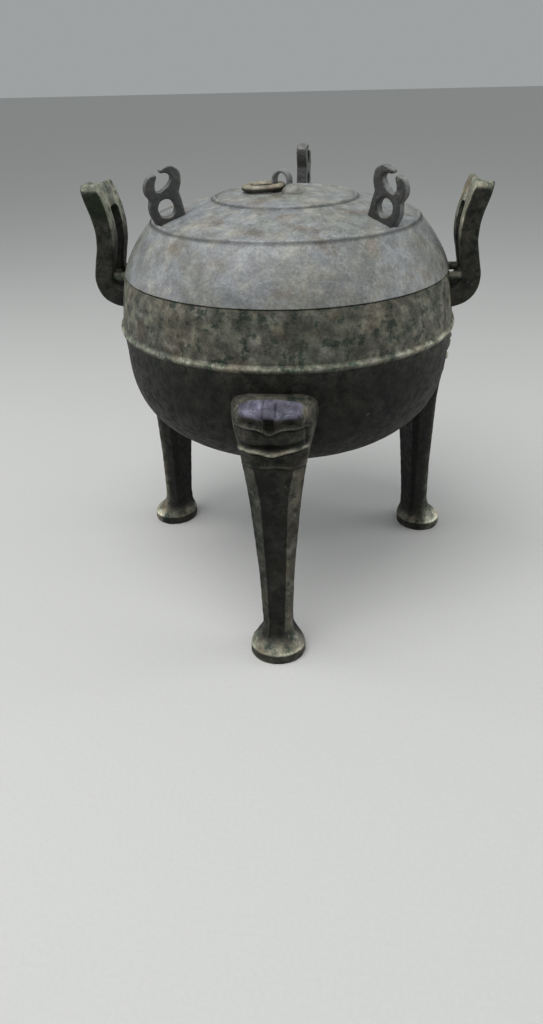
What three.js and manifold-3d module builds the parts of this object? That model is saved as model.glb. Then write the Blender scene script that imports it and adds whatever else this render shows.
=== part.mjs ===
// Lidded bronze ding: a round cooking and offering vessel on three hoofed legs with animal masks,
// with two upright ears on its wall, a domed lid with three hooked knobs, and a loose ring.
// Units are millimetres, +Z is up, and the feet stand on z = 0. The origin is the middle of the
// object's box at floor level, so the axis of the bowl lies a little behind it.

import * as THREE from 'three';
import { mergeVertices } from 'three/addons/utils/BufferGeometryUtils.js';
import Module from 'manifold-3d';

const wasm = await Module();
wasm.setup();

// Heights above the floor.
const bowlBottom = 150;
const ridgeHeight = 275.7;
const mouthHeight = 322.8;
const cordOuterHeight = 369.4;
const cordInnerHeight = 385.8;
const lidTop = 390.5;

// Radii from the axis of the bowl.
const ridgeRadius = 160;
const bowlRadius = 155.9;
const wallFootRadius = 157.2;
const mouthRadius = 151.3;
const cordOuterRadius = 121.6;
const cordInnerRadius = 64.6;
const footReach = 194.3;

// Casting thicknesses and the play between pieces that touch.
const wall = 4.5;
const lidWall = 4.2;
const play = 0.3;

// The lip inside the mouth that keeps the lid in place.
const lipHeight = 7;
const lipRadius = 143.5;
const lipWall = 3.5;
const edgeChamfer = 0.9;

// Raised cords.
const ridgeHalf = 4.2;
const cordHalf = 2;
const cordRise = 1.5;
const crownMiddleRadius = (cordOuterRadius + cordInnerRadius) / 2;

const roundSteps = 36;
const rightAngle = Math.PI / 2;
const axisOffset = (footReach - ridgeRadius) / 2;

// ---- Helpers: three.js geometry to a solid and back ----

function solid(geometry) {
  const bare = new THREE.BufferGeometry();
  bare.setAttribute('position', geometry.getAttribute('position').clone());
  bare.setIndex(geometry.getIndex());
  const merged = mergeVertices(bare, 1e-4);
  const index = merged.getIndex().array;
  const corners = [];
  for (let i = 0; i < index.length; i += 3) {
    const [a, b, c] = [index[i], index[i + 1], index[i + 2]];
    if (a !== b && b !== c && c !== a) corners.push(a, b, c);
  }
  return new wasm.Manifold(new wasm.Mesh({
    numProp: 3,
    vertProperties: new Float32Array(merged.getAttribute('position').array),
    triVerts: new Uint32Array(corners),
  }));
}

function geometryOf(body) {
  const mesh = body.getMesh();
  const geometry = new THREE.BufferGeometry();
  geometry.setAttribute('position', new THREE.BufferAttribute(mesh.vertProperties, 3));
  geometry.setIndex(new THREE.BufferAttribute(mesh.triVerts, 1));
  geometry.computeVertexNormals();
  return geometry;
}

function fuse(bodies) {
  return bodies.reduce((whole, body) => whole.add(body));
}

// A turned shape from [radius, height] points that start and end on the axis, bottom first.
function turned(points) {
  const profile = points.map(([radius, height]) => new THREE.Vector2(radius, height));
  return solid(new THREE.LatheGeometry(profile, roundSteps).rotateX(rightAngle));
}

// A plate whose outline is drawn in the radial plane, [outward, up], centred on that plane.
function plateGeometry(shape, thickness, chamfer, curveSegments) {
  const geometry = new THREE.ExtrudeGeometry(shape, {
    depth: thickness - 2 * chamfer,
    bevelEnabled: chamfer > 0,
    bevelThickness: chamfer,
    bevelSize: chamfer,
    bevelOffset: -chamfer,
    bevelSegments: 1,
    curveSegments,
  });
  return geometry.rotateX(rightAngle).translate(0, thickness / 2 - chamfer, 0);
}

// ---- Profiles of the bowl and the lid ----

const bowlFullness = 0.58;

// The round bowl from the middle of its bottom to just under the ridge.
function bowlProfile(radius, bottom, steps) {
  const points = [];
  for (let i = 0; i < steps; i += 1) {
    const turn = rightAngle * (1 - i / steps);
    const across = radius * Math.cos(turn);
    const drop = (ridgeHeight - bottom) * Math.sin(turn) ** bowlFullness;
    points.push([i === 0 ? 0 : across, ridgeHeight - drop]);
  }
  return points;
}

// The domed crown of the lid, inside the outer cord and inside the inner one.
function crownHeight(radius) {
  const bend = (cordInnerHeight - cordOuterHeight) / (cordOuterRadius ** 2 - cordInnerRadius ** 2);
  if (radius > cordInnerRadius) {
    return cordInnerHeight - bend * (radius ** 2 - cordInnerRadius ** 2);
  }
  return lidTop - (lidTop - cordInnerHeight) * (radius / cordInnerRadius) ** 2;
}

function cordPoints(radius) {
  return [
    [radius + cordHalf, crownHeight(radius + cordHalf)],
    [radius + cordHalf / 2, crownHeight(radius) + cordRise],
    [radius - cordHalf / 2, crownHeight(radius) + cordRise],
    [radius - cordHalf, crownHeight(radius - cordHalf)],
  ];
}

// The steep side of the lid, from its rim up to the outer cord.
function lidSide(inset, steps) {
  const rim = new THREE.Vector2(mouthRadius - inset, mouthHeight + play + edgeChamfer);
  const bend = new THREE.Vector2(146.6 - inset, 343 - inset / 2);
  const shoulder = new THREE.Vector2(cordOuterRadius + cordHalf - inset / 2, cordOuterHeight - inset);
  const curve = new THREE.QuadraticBezierCurve(rim, bend, shoulder);
  return curve.getPoints(steps).map((point) => [point.x, point.y]);
}

function bowlOuter() {
  return turned([
    ...bowlProfile(bowlRadius, bowlBottom, 8),
    [bowlRadius, ridgeHeight - ridgeHalf],
    [ridgeRadius - 1.2, ridgeHeight - ridgeHalf * 0.7],
    [ridgeRadius, ridgeHeight],
    [ridgeRadius - 1.2, ridgeHeight + ridgeHalf * 0.7],
    [wallFootRadius, ridgeHeight + ridgeHalf],
    [(wallFootRadius + mouthRadius) / 2 + 0.5, (ridgeHeight + mouthHeight) / 2],
    [mouthRadius, mouthHeight - edgeChamfer],
    [mouthRadius - edgeChamfer, mouthHeight],
    [lipRadius, mouthHeight],
    [lipRadius, mouthHeight + lipHeight],
    [0, mouthHeight + lipHeight],
  ]);
}

function bowlInside() {
  return turned([
    ...bowlProfile(bowlRadius - wall, bowlBottom + wall, 5),
    [bowlRadius - wall, ridgeHeight],
    [mouthRadius - wall + 1, mouthHeight - lipHeight],
    [lipRadius - lipWall, mouthHeight - lipWall],
    [lipRadius - lipWall, mouthHeight + 2 * lipHeight],
    [0, mouthHeight + 2 * lipHeight],
  ]);
}

function lidOuter() {
  return turned([
    [0, mouthHeight + play],
    [mouthRadius - edgeChamfer, mouthHeight + play],
    ...lidSide(0, 5).slice(0, -1),
    ...cordPoints(cordOuterRadius),
    [crownMiddleRadius, crownHeight(crownMiddleRadius)],
    ...cordPoints(cordInnerRadius),
    [cordInnerRadius / 2, crownHeight(cordInnerRadius / 2)],
    [0, lidTop],
  ]);
}

function lidInside() {
  return turned([
    [0, mouthHeight - lidWall],
    [mouthRadius - lidWall, mouthHeight - lidWall],
    ...lidSide(lidWall, 3),
    [crownMiddleRadius, crownHeight(crownMiddleRadius) - lidWall],
    [0, lidTop - lidWall],
  ]);
}

// ---- Legs: a lofted shaft between a hoof and an animal mask ----

// Each station: height, half width, half width of the front facet, how far the front and the back
// stand from the axis, and how round the section is.
const legStations = [
  [0, 25.5, 14, footReach - 0.4, 146, 1],
  [9.5, 26.0, 14, footReach, 145.5, 1],
  [13, 24.4, 12, 191.5, 146, 1],
  [20, 18.3, 10, 184.5, 148.5, 0.8],
  [28, 14.2, 7.2, 178.5, 151, 0.3],
  [36, 13.6, 6.9, 176.5, 151.3, 0],
  [85, 15.8, 8.6, 175.3, 148.8, 0],
  [120, 18.8, 9.8, 176, 146.8, 0],
  [160, 22.6, 11.5, 176.5, 141, 0],
  [194, 27.6, 19, 178, 128, 0.15],
  [212, 32.0, 24, 181, 116, 0.4],
  [234, 36.6, 27, 185, 110, 0.5],
  [244, 37.2, 27, 183.5, 110, 0.5],
  [249, 36.0, 26, 176, 110, 0.55],
  [252.5, 32.0, 22, 167, 110, 0.6],
  [255, 25.0, 16, 153, 110, 0.7],
];
const legRings = [
  255, 252.5, 249, 243.5, 239.5, 236.5, 234, 231.5, 225, 219.5, 216.5, 214, 211, 204, 198, 194,
  160, 120, 85, 36, 28, 20, 13, 9.5, 0,
];
const facetSteps = { front: 8, corner: 1, side: 2, back: 4 };
const legTurns = [0, 120, 240];

const station = new THREE.LinearInterpolant(
  Float32Array.from(legStations.map((row) => row[0])),
  Float32Array.from(legStations.flatMap((row) => row.slice(1))),
  5,
);

// Evenly spaced steps from one corner of a section to the next, without the last point.
function stepsBetween(from, to, count) {
  const points = [];
  for (let i = 0; i < count; i += 1) points.push(from.clone().lerp(to, i / count));
  return points;
}

// The outline of one section, [across, out from the axis], clockwise from its back left corner.
function legSection(height) {
  const [half, facet, front, back, roundness] = station.evaluate(height);
  const depth = (front - back) / 2;
  const middle = (front + back) / 2;
  const frontCut = (half - facet) * 0.75;
  const backCut = half * 0.25;
  const corners = [
    [backCut - half, back], [-half, back + backCut], [-half, front - frontCut], [-facet, front],
    [facet, front], [half, front - frontCut], [half, back + backCut], [half - backCut, back],
  ].map(([across, out]) => new THREE.Vector2(across, out));
  const steps = [
    1, facetSteps.side, facetSteps.corner, facetSteps.front,
    facetSteps.corner, facetSteps.side, 1, facetSteps.back - 2,
  ];
  const outline = corners.flatMap((corner, i) => (
    stepsBetween(corner, corners[(i + 1) % corners.length], steps[i])
  ));
  return outline.map((point) => {
    const turn = Math.atan2(point.x / half, (point.y - middle) / depth);
    const round = new THREE.Vector2(half * Math.sin(turn), middle + depth * Math.cos(turn));
    return point.lerp(round, roundness);
  });
}

function bump(distance, width) {
  return Math.exp(-((distance / width) ** 2));
}

// The animal face. Its carved lines sag towards the middle, so the rings there sag with them.
const browLine = 239.5;
const cheekLine = 234;
const mouthLine = 219.5;
const lipLine = 214;
const chinLine = 198;
const eyeSpread = 17;

function maskSag(across, height) {
  const nose = 2.5 * bump(across, 7) * bump(height - cheekLine, 5);
  const lip = 4 * bump(across, 13) * bump(height - lipLine, 9);
  return nose + lip;
}

// How far the face stands out at a place across the front and a height.
function maskRelief(across, height) {
  const side = Math.abs(across);
  const eye = bump(side - eyeSpread, 6) * bump(height - browLine, 3.4);
  const brow = bump(side - eyeSpread, 8) * bump(height - browLine - 6.5, 4);
  const nose = bump(across, 5) * bump(height - browLine, 3.4);
  const cheek = bump(height - cheekLine, 2);
  const mouth = bump(height - mouthLine, 2.8);
  const lip = bump(height - lipLine, 2.6);
  const chin = bump(height - chinLine, 2);
  const face = THREE.MathUtils.smoothstep(height, 190, 196);
  return face * (1.2 * brow - 4 * eye - 3.2 * nose + 1.8 * cheek - 3.2 * mouth + 2.4 * lip + chin);
}

function legSolid() {
  const around = legSection(0).length;
  const rows = legRings.length - 1;
  const geometry = new THREE.CylinderGeometry(1, 1, 1, around, rows);
  const position = geometry.getAttribute('position');
  const sections = legRings.map(legSection);
  for (let i = 0; i < position.count; i += 1) {
    const [x, y, z] = [position.getX(i), position.getY(i), position.getZ(i)];
    const row = Math.round((0.5 - y) * rows);
    const height = legRings[row];
    const column = Math.round((Math.atan2(x, z) / (2 * Math.PI) + 1) * around) % around;
    const section = sections[row];
    const middle = new THREE.Vector2(0, (section[0].y + footReach) / 2);
    const point = Math.hypot(x, z) > 0.5 ? section[column].clone() : middle;
    const front = THREE.MathUtils.smoothstep(point.y, 160, 176);
    point.y += front * maskRelief(point.x, height);
    position.setXYZ(i, point.x, -point.y, height - front * maskSag(point.x, height));
  }
  return solid(geometry);
}

// ---- Ears: an S-curved slab cut to an arch, with two struts to the mouth ----

const earWidth = 58;
const earThickness = 16.4;
const earTop = 400;
const earCorner = 9;
const earChamfer = 1.5;
const slotWidth = 22;
const slotBottom = 316;
const slotTop = 377;
const strutRadius = 4.2;
const strutSpread = 20;
const strutHeight = 318;
const earBend = [
  [144, 299], [156, 300.5], [165.5, 306], [169.8, 317], [167.8, 332],
  [165.2, 346], [165, 360], [167.4, 374], [171.4, 387], [176, 402],
];

function earSlab() {
  const bend = new THREE.SplineCurve(earBend.map(([out, up]) => new THREE.Vector2(out, up)));
  const steps = 12;
  const outer = [];
  const inner = [];
  for (let i = 0; i <= steps; i += 1) {
    const at = i / steps;
    const middle = bend.getPointAt(at);
    const along = bend.getTangentAt(at);
    const across = new THREE.Vector2(along.y, -along.x).multiplyScalar(earThickness / 2);
    outer.push(middle.clone().add(across));
    inner.unshift(middle.clone().sub(across));
  }
  return solid(plateGeometry(new THREE.Shape([...outer, ...inner]), earWidth, earChamfer, 1));
}

// A bar along the radial direction whose outline is drawn across the ear, [sideways, up].
function throughBar(shape) {
  const depth = 2 * (footReach - mouthRadius);
  const bar = new THREE.ExtrudeGeometry(shape, { depth, bevelEnabled: false, curveSegments: 4 });
  bar.rotateX(rightAngle).rotateZ(rightAngle);
  return solid(bar.translate(mouthRadius - depth / 3, 0, 0));
}

function archShape(width, bottom, top, corner) {
  const half = width / 2;
  const shape = new THREE.Shape();
  shape.moveTo(-half, bottom);
  shape.lineTo(half, bottom);
  shape.lineTo(half, top - corner);
  shape.absarc(half - corner, top - corner, corner, 0, rightAngle, false);
  shape.lineTo(corner - half, top);
  shape.absarc(corner - half, top - corner, corner, rightAngle, 2 * rightAngle, false);
  return shape;
}

function strut(side) {
  const length = 17;
  const bar = new THREE.CylinderGeometry(strutRadius, strutRadius, length, 8);
  return solid(bar.rotateZ(rightAngle).translate(mouthRadius + 5, side * strutSpread, strutHeight));
}

function earSolid() {
  const frame = throughBar(archShape(earWidth, bowlBottom, earTop, earCorner));
  const slot = throughBar(archShape(slotWidth, slotBottom, slotTop, slotWidth * 0.45));
  return fuse([earSlab().intersect(frame).subtract(slot), strut(-1), strut(1)]);
}

// ---- Lid fittings: hooked knobs, the middle loop and its pad ----

const knobFoot = 375;
const knobChamfer = 1;
const knobHole = { out: 112.4, up: 384, radius: 7.2 };

// Cast by hand, so each has its own thickness, place along the radius and lean, in degrees.
const knobs = [
  { turn: 84.5, thickness: 10.5, slide: 0, lean: 0 },
  { turn: 206, thickness: 8.8, slide: -0.6, lean: 0 },
  { turn: 324, thickness: 8.2, slide: -1.8, lean: 4.5 },
];

function curveThrough(shape, points) {
  return shape.splineThru(points.map(([out, up]) => new THREE.Vector2(out, up)));
}

// The outline of a knob, [out from the axis, up]: a foot with a round hole and, above its waist,
// a tall hook that bends outwards over a short one.
function knobShape() {
  const shape = new THREE.Shape();
  shape.moveTo(120.5, crownHeight(120.5) - 2);
  curveThrough(shape, [[126, 377], [127.8, 384], [126.6, 391]]);
  curveThrough(shape, [[130.4, 397], [130.6, 403.5], [126.5, 410.6], [121, 412.4]]);
  shape.lineTo(119, 410);
  curveThrough(shape, [[121.4, 403.5], [119.8, 398], [111.5, 402], [107, 408], [112.2, 413]]);
  shape.lineTo(115, 412.6);
  shape.lineTo(116.4, 415.8);
  curveThrough(shape, [[107, 419], [99.4, 415], [98, 406], [100.4, 397.5]]);
  curveThrough(shape, [[99.2, 391], [96.6, 383], [93.5, crownHeight(93.5) - 2]]);
  return shape;
}

function knobSolid({ turn, thickness, slide, lean }) {
  const { out, up, radius } = knobHole;
  const body = solid(plateGeometry(knobShape(), thickness, knobChamfer, 2));
  const hole = new THREE.CylinderGeometry(radius, radius, 2 * thickness, 14);
  const plate = body.subtract(solid(hole.translate(out, 0, up)));
  const upright = plate.translate([-out, 0, -knobFoot]).rotate([0, lean, 0]);
  return upright.translate([out + slide, 0, knobFoot]).rotate([0, 0, turn]);
}

const loopTurn = 244;
const loopMiddle = new THREE.Vector2(-2.5, -0.5);
const loopWidth = 18.4;
const loopOpening = 13.2;
const loopRise = 18;
const loopCrown = 5;
const loopLength = 8.4;
const loopRibs = 3;
const loopRoot = 2;

// A strap bent to an arch and drawn out along the way through it.
function loopStrap(width, rise, length, start) {
  const arch = archShape(width, -loopRoot, rise, width / 2);
  const opening = archShape(loopOpening, -2 * loopRoot, loopRise - loopCrown, loopOpening / 2);
  const plain = { bevelEnabled: false, curveSegments: 4 };
  const bar = new THREE.ExtrudeGeometry(arch, { depth: length, ...plain });
  const gap = new THREE.ExtrudeGeometry(opening, { depth: 3 * length, ...plain });
  const strap = solid(bar).subtract(solid(gap.translate(0, 0, -length)));
  return strap.translate([0, 0, start]).rotate([90, 0, 0]).rotate([0, 0, 90]);
}

function loopSolid() {
  const pitch = loopLength / loopRibs;
  const straps = [loopStrap(loopWidth - 1.4, loopRise - 0.7, loopLength, -loopLength / 2)];
  for (let i = 0; i < loopRibs; i += 1) {
    straps.push(loopStrap(loopWidth, loopRise, pitch * 0.6, pitch * (i + 0.2) - loopLength / 2));
  }
  return fuse(straps).rotate([0, 0, loopTurn]).translate([loopMiddle.x, loopMiddle.y, lidTop]);
}

// A leaf-shaped pad at a foot of the loop, narrowing to a tip at one side.
const pads = [
  { x: 9.6, y: -11.8, length: 12.2, width: 10, height: 8, turn: -12 },
  { x: -13, y: 7.5, length: 5, width: 4.5, height: 4, turn: 150 },
];

function padSolid({ x, y, length, width, height, turn }) {
  const geometry = new THREE.SphereGeometry(1, 12, 6);
  geometry.rotateX(rightAngle);
  const position = geometry.getAttribute('position');
  for (let i = 0; i < position.count; i += 1) {
    const towardsTip = Math.max(0, position.getX(i));
    const narrow = 1 - 0.45 * towardsTip ** 2;
    position.setY(i, position.getY(i) * narrow);
    position.setZ(i, position.getZ(i) * narrow);
  }
  geometry.scale(length, width, height).rotateZ(THREE.MathUtils.degToRad(turn));
  return solid(geometry.translate(x, y, crownHeight(Math.hypot(x, y)) - 0.5));
}

const ringRadius = 17.4;
const ringThickness = 6.2;
const ringTurn = THREE.MathUtils.degToRad(170);
const ringAway = new THREE.Vector2(Math.cos(ringTurn), Math.sin(ringTurn));
const ringMiddle = loopMiddle.clone().addScaledVector(ringAway, ringRadius);

// The loose ring lies tipped down the crown of the lid, away from the loop.
function ringGeometry() {
  const out = ringMiddle.length();
  const high = crownHeight(0);
  const low = crownHeight(out + ringRadius);
  const tilt = Math.atan2(high - low, out + ringRadius);
  const ring = new THREE.TorusGeometry(ringRadius, ringThickness / 2, 7, 18);
  ring.rotateY(tilt).rotateZ(ringMiddle.angle());
  const lift = (high + low) / 2 + ringThickness / 2 + 2 * play;
  return ring.translate(ringMiddle.x, ringMiddle.y, lift);
}

// ---- The three pieces ----

const earTurns = [0, 180];

function vesselSolid() {
  const leg = legSolid();
  const ear = earSolid();
  const legs = legTurns.map((degrees) => leg.rotate([0, 0, degrees]));
  const ears = earTurns.map((degrees) => ear.rotate([0, 0, degrees]));
  return fuse([bowlOuter(), ...legs, ...ears]).subtract(bowlInside());
}

function lidSolid() {
  const fittings = [...knobs.map(knobSolid), loopSolid(), ...pads.map(padSolid)];
  return fuse([lidOuter(), ...fittings]).subtract(lidInside());
}

const darkBronze = new THREE.MeshStandardMaterial({ color: 0x3b3f38, roughness: 0.7, metalness: 0.4 });
const greyBronze = new THREE.MeshStandardMaterial({ color: 0x7c7f7a, roughness: 0.75, metalness: 0.3 });
const ringBronze = new THREE.MeshStandardMaterial({ color: 0x6b6a5f, roughness: 0.7, metalness: 0.35 });

const ding = new THREE.Group();

function addPiece(name, geometry, material) {
  const piece = new THREE.Mesh(geometry, material);
  piece.name = name;
  piece.position.y = axisOffset;
  ding.add(piece);
}

addPiece('vessel', geometryOf(vesselSolid()), darkBronze);
addPiece('lid', geometryOf(lidSolid()), greyBronze);
addPiece('ring', ringGeometry(), ringBronze);

export default ding;
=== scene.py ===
# %% [markdown]
# # A lidded bronze ding
# A ding is a cast bronze vessel for cooking and for offerings. This one is a round bowl on three
# hoofed legs, closed by a domed lid, and two thousand years in the ground have turned its metal
# into a matt patina of many greys, greens and browns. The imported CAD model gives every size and
# place. Each piece below is a finer mesh over one of its solids, and holds the small relief and
# the patina that a few thousand flat faces can't.

# %% Load the frame
import math

import bpy
import numpy as np
from mathutils import Matrix, Vector


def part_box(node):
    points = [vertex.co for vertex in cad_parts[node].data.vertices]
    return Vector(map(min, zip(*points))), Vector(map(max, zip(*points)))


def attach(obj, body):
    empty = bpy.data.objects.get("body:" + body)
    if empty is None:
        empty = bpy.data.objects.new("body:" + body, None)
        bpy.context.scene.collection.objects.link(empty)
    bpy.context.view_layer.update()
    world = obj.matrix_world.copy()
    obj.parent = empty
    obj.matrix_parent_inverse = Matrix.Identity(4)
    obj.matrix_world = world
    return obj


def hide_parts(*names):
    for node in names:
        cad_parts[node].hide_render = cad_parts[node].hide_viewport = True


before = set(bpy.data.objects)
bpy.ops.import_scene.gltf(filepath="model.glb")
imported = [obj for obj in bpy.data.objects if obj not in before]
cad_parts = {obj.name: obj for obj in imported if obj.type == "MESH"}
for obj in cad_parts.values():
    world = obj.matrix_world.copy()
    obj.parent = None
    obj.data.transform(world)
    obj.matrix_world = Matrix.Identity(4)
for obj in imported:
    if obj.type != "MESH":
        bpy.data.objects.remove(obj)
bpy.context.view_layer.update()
vessel_low, vessel_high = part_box("vessel")
lid_low, lid_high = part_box("lid")

# %% [markdown]
# The ridge round the belly is the widest turned part, and it touches the back of the vessel's
# box. The lid is centred on the bowl's axis. So those two boxes give the axis and the radius of
# the ridge. Sizes below are written for a ridge of 160 and scaled by it.

# %% The driving dimensions
AXIS = (lid_low[0] + lid_high[0]) / 2, (lid_low[1] + lid_high[1]) / 2
RIDGE = vessel_high[1] - AXIS[1]
MM = RIDGE / 160
RIM = (lid_high[0] - lid_low[0]) / 2 / MM
REACH = (AXIS[1] - vessel_low[1]) / MM
EAR_TOP = vessel_high[2] / MM
LID_FOOT = lid_low[2] / MM
print(f"unit {MM:.6f} m, rim {RIM:.1f}, reach {REACH:.1f}, lid from {LID_FOOT:.1f}")

# %% [markdown]
# ## Camera
# The vessel is seen from a little above its knobs and almost straight on, with a lens that is
# neither wide nor long. The camera is turned slightly, so it is placed by its own directions
# instead of being aimed at a point.

# %% Place the camera
CAMERA_PLACE = (62.064, -800.465, 508.130)
CAMERA_RIGHT = (0.99573111, 0.08897634, -0.02455148)
CAMERA_UP = (-0.022431, 0.49128237, 0.87071148)
LENS, SENSOR = 29.305, 36

bpy.ops.object.select_all(action="DESELECT")
bpy.ops.object.camera_add()
camera = bpy.context.object
camera.name = "camera"
camera.data.sensor_width = SENSOR
camera.data.lens = LENS
turned_by = np.eye(4)
turned_by[:3, 0] = CAMERA_RIGHT
turned_by[:3, 1] = CAMERA_UP
turned_by[:3, 2] = np.cross(CAMERA_RIGHT, CAMERA_UP)
turned_by[:3, 3] = np.array(CAMERA_PLACE) * MM + (AXIS[0], AXIS[1], 0)
camera.matrix_world = Matrix(turned_by.tolist())
bpy.context.scene.camera = camera
print("camera at", np.round(turned_by[:3, 3], 3))

# %% [markdown]
# ## Ways to shape a mesh
# Three ways of working come back again and again. A turned piece is a wire profile, extruded
# point by point and spun round the axis. A wrapped piece starts as a sphere or a ring whose rows
# and columns are laid over a form worked out by a formula, as clay is laid over a core. A cast
# skin is then given slight swells, because nothing cast from a clay mould is quite true.

# %% Helpers for shaping
def edit(piece):
    """Makes one piece the only selected one and opens it with everything selected."""
    bpy.ops.object.select_all(action="DESELECT")
    piece.select_set(True)
    bpy.context.view_layer.objects.active = piece
    bpy.ops.object.mode_set(mode="EDIT")
    bpy.ops.mesh.select_all(action="SELECT")


def close(piece, name, smooth_below=40):
    """Merges doubles, turns the faces outwards, names the piece and shades it."""
    bpy.ops.mesh.select_all(action="SELECT")
    bpy.ops.mesh.remove_doubles(threshold=1e-5)
    bpy.ops.mesh.normals_make_consistent(inside=False)
    bpy.ops.object.mode_set(mode="OBJECT")
    piece.name = piece.data.name = name
    bpy.ops.object.shade_smooth_by_angle(angle=math.radians(smooth_below))
    return piece


def points_of(piece):
    """Places of the vertices in metres."""
    points = np.empty(len(piece.data.vertices) * 3)
    piece.data.vertices.foreach_get("co", points)
    return points.reshape(-1, 3)


def lay(piece, points):
    """Moves each vertex to a place written in drawing units about the bowl's axis."""
    placed = np.array(points, dtype=float) * MM + (AXIS[0], AXIS[1], 0)
    piece.data.vertices.foreach_set("co", placed.ravel())
    piece.data.update()


def spun(name, profile, steps=168, smooth_below=40):
    """Extrudes a wire along [radius, height] points and spins it round the axis."""
    bpy.ops.object.select_all(action="DESELECT")
    bpy.ops.mesh.primitive_plane_add(size=MM)
    piece = bpy.context.object
    edit(piece)
    bpy.ops.mesh.merge(type="CENTER")
    radius, height = profile[0]
    bpy.ops.transform.translate(value=(AXIS[0] + radius * MM, AXIS[1], height * MM))
    for (r0, z0), (r1, z1) in zip(profile, profile[1:]):
        step = ((r1 - r0) * MM, 0, (z1 - z0) * MM)
        bpy.ops.mesh.extrude_vertices_move(TRANSFORM_OT_translate={"value": step})
    bpy.ops.mesh.select_all(action="SELECT")
    bpy.ops.mesh.spin(
        steps=steps, angle=2 * math.pi, center=(AXIS[0], AXIS[1], 0), axis=(0, 0, 1)
    )
    return close(piece, name, smooth_below)


def swell(piece, strength, size, depth=2):
    """Gives a cast skin slight swells and hollows."""
    cloud = bpy.data.textures.new(f"{piece.name}_swell", "CLOUDS")
    cloud.noise_scale = size * MM
    cloud.noise_depth = depth
    bpy.ops.object.select_all(action="DESELECT")
    piece.select_set(True)
    bpy.context.view_layer.objects.active = piece
    push = piece.modifiers.new("swell", "DISPLACE")
    push.texture = cloud
    push.texture_coords = "LOCAL"
    push.strength = strength * MM
    push.mid_level = 0.62
    bpy.ops.object.modifier_apply(modifier=push.name)


def smoothstep(value, low, high):
    """Goes smoothly from 0 at low to 1 at high."""
    t = np.clip((value - low) / (high - low), 0, 1)
    return t * t * (3 - 2 * t)


def bump(distance, width):
    """A bell of height 1 at distance 0."""
    return np.exp(-((distance / width) ** 2))


def turned(first, second, angle):
    """Turns flat places by an angle, from the first direction towards the second."""
    turned_first = first * math.cos(angle) - second * math.sin(angle)
    return turned_first, first * math.sin(angle) + second * math.cos(angle)


def report(piece):
    faces = sum(len(p.vertices) - 2 for p in piece.data.polygons)
    print(f"{piece.name}: {faces} triangles")


# %% [markdown]
# ## Bowl
# The bowl is a deep round body with a plain band above a raised ridge, a flat rim and an inner lip
# that keeps the lid from sliding off. It is hollow, so its profile runs down the outside, over
# the lip and back along the inside at the thickness of the casting.

# %% Bowl profile
BOWL_BOTTOM, RIDGE_HEIGHT, MOUTH = 150, 275.7, LID_FOOT - 0.3
BOWL_RADIUS, WALL_FOOT, WALL = 155.9, 157.2, 4.5
LIP_RADIUS, LIP_HEIGHT, LIP_WALL = 143.5, 7, 3.5
FULLNESS = 0.58


def bowl_curve(radius, bottom, steps):
    """The round body from its lowest point up to the ridge; FULLNESS below 1 makes it plump."""
    turns = np.linspace(math.pi / 2, 0, steps, endpoint=False)
    heights = RIDGE_HEIGHT - (RIDGE_HEIGHT - bottom) * np.sin(turns) ** FULLNESS
    return [(float(radius * abs(math.cos(t))), float(z)) for t, z in zip(turns, heights)]


def arc(radius, height, size, start, end, steps, rise=1.0):
    """Points of an arc in the profile's plane, angles from the outward direction."""
    turns = np.radians(np.linspace(start, end, steps))
    return [(radius + size * math.cos(t) * rise, height + size * math.sin(t)) for t in turns]


ridge_base = RIDGE / MM - 3.6
outside = bowl_curve(BOWL_RADIUS, BOWL_BOTTOM, 34)
outside[0] = (0, BOWL_BOTTOM)
ridge = arc(ridge_base, RIDGE_HEIGHT, 4.0, -72, 72, 11, rise=0.9)
band = [
    (WALL_FOOT + 0.3, 281), (WALL_FOOT, 283.5), (156.4, 292), (155.3, 301), (154.0, 310),
    (152.6, 318), (RIM - 0.1, MOUTH - 1.6), (RIM - 0.5, MOUTH - 0.5), (RIM - 1.6, MOUTH),
]
lip = [
    (LIP_RADIUS + 0.6, MOUTH), (LIP_RADIUS, MOUTH + 0.6), (LIP_RADIUS, MOUTH + LIP_HEIGHT - 0.8),
    (LIP_RADIUS - 0.8, MOUTH + LIP_HEIGHT), (LIP_RADIUS - LIP_WALL + 0.8, MOUTH + LIP_HEIGHT),
    (LIP_RADIUS - LIP_WALL, MOUTH + LIP_HEIGHT - 0.8), (LIP_RADIUS - LIP_WALL, MOUTH - 3),
    (RIM - WALL + 0.7, MOUTH - LIP_HEIGHT - 1), (BOWL_RADIUS - WALL, RIDGE_HEIGHT + 8),
]
inside = bowl_curve(BOWL_RADIUS - WALL, BOWL_BOTTOM + WALL, 22)[::-1]
inside[-1] = (0, BOWL_BOTTOM + WALL)
bowl = spun("bowl", outside + ridge + band + lip + inside)
swell(bowl, 0.5, 22)
report(bowl)

# %% [markdown]
# ## Lid
# The lid carries the bowl's curve on to a low crown. Two thin cords ring the crown. The rim is a
# plain edge that meets the bowl's rim at a narrow dark gap.

# %% Lid profile
OUTER_CORD, OUTER_CORD_HEIGHT = 121.6, 369.4
INNER_CORD, INNER_CORD_HEIGHT = 64.6, 385.8
LID_TOP, LID_WALL = 390.5, 4.2


def crown(radius):
    """Height of the lid's crown at a distance from the axis."""
    fall = (INNER_CORD_HEIGHT - OUTER_CORD_HEIGHT) / (OUTER_CORD**2 - INNER_CORD**2)
    outer = INNER_CORD_HEIGHT - fall * (radius**2 - INNER_CORD**2)
    inner = LID_TOP - (LID_TOP - INNER_CORD_HEIGHT) * (radius / INNER_CORD) ** 2
    return outer if radius > INNER_CORD else inner


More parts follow.
